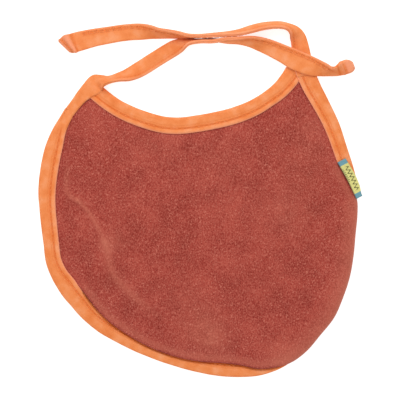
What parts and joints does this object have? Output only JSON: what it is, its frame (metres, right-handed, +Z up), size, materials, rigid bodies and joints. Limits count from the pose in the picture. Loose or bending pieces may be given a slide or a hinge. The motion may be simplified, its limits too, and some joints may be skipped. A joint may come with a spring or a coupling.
{
  "type": "tie-on baby bib",
  "caption": "Velour baby bib with jersey binding round the edge and the neck, fabric ties at the neck tips and a folded side label.",
  "frame": {"origin": "on the table, under the middle of the whole bib as it lies flat, ties included", "axes": "+Z up from the table, out of the velour front; +Y from the bottom of the bib towards the neck and the ties; +X to the label side"},
  "size_m": [0.2585, 0.284, 0.0083],
  "materials": {
    "velour": "cotton velour with a short pile",
    "jersey": "cotton jersey strip, folded and sewn",
    "film": "thin waterproof film",
    "backing": "plain cotton backing",
    "thread": "polyester sewing thread",
    "label_tape": "woven tape, smooth"
  },
  "bodies": {
    "bib": {"front_panel": "velour", "waterproof_film": "film", "back_panel": "backing", "neck_binding": "jersey", "edge_binding": "jersey", "neck_stitching": "thread", "edge_stitching": "thread"},
    "left_tie": {"left_tie": "jersey", "left_tie_stitching": "thread", "left_tie_hem_stitching": "thread"},
    "right_tie": {"right_tie": "jersey", "right_tie_stitching": "thread", "right_tie_hem_stitching": "thread"},
    "label": {"side_label": "label_tape"}
  },
  "joints": [
    {"name": "left_tie_lift", "type": "hinge", "parent": "bib", "child": "left_tie", "pos_m": [-0.0682, 0.097, 0.0051], "axis": [0, -1, 0], "range_deg": [0, 150]},
    {"name": "right_tie_lift", "type": "hinge", "parent": "bib", "child": "right_tie", "pos_m": [0.0885, 0.1236, 0.0024], "axis": [0, 1, 0], "range_deg": [0, 150]},
    {"name": "label_flap", "type": "hinge", "parent": "bib", "child": "label", "pos_m": [0.111, 0.0305, 0.0059], "axis": [0.4305, -0.9026, 0], "range_deg": [0, 150]}
  ]
}
